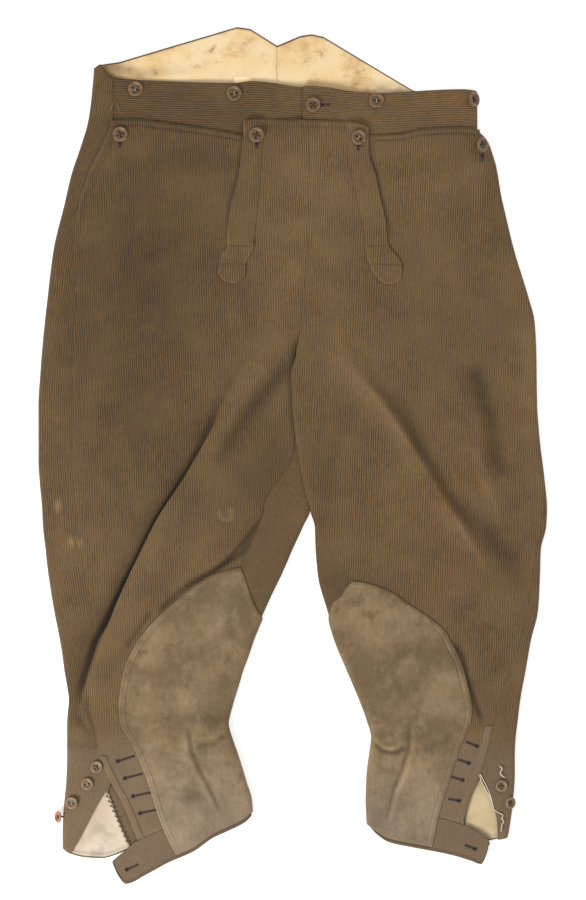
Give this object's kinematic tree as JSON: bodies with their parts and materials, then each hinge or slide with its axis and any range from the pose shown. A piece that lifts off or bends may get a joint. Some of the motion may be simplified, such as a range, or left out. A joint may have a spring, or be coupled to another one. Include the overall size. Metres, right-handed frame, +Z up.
{
  "type": "fall-front cord knee breeches, laid flat",
  "caption": "Fall-front knee breeches in ribbed cord with suede knee patches, laid flat, knee plackets open, raised fishtail back.",
  "frame": {"origin": "on the surface it lies on, under the middle of its box", "axes": "+Y towards the waist, +X towards the wearer's left, +Z up out of the front"},
  "size_m": [0.569, 0.9535, 0.0204],
  "materials": {
    "cord": "matt olive-brown ribbed cord, worn and a little darker in patches",
    "suede": "matt brushed suede, scuffed and stained",
    "cotton": "matt cream cotton twill with brown spots",
    "button": "satin brown pressed button"
  },
  "bodies": {
    "root": {"back_right": "cord", "back_left": "cord", "front_right": "cord", "front_left": "cord", "waistband_right": "cord", "waistband_left": "cord", "fall_strip_right": "cord", "fall_strip_left": "cord", "placket_right": "cord", "placket_left": "cord", "knee_band_right": "cord", "knee_band_left": "cord", "knee_patch_right": "suede", "knee_patch_left": "suede", "waist_lining_right": "cotton", "waist_lining_left": "cotton", "knee_lining_right": "cotton", "knee_lining_left": "cotton", "waist_button_1": "button", "waist_button_2": "button", "waist_button_3": "button", "waist_button_4": "button", "waist_button_5": "button", "waist_button_6": "button", "waist_button_7": "button", "waist_button_8": "button", "waist_button_9": "button", "knee_button_1": "button", "knee_button_2": "button", "knee_button_3": "button", "knee_button_4": "button", "knee_button_5": "button", "knee_button_6": "button"}
  },
  "joints": []
}
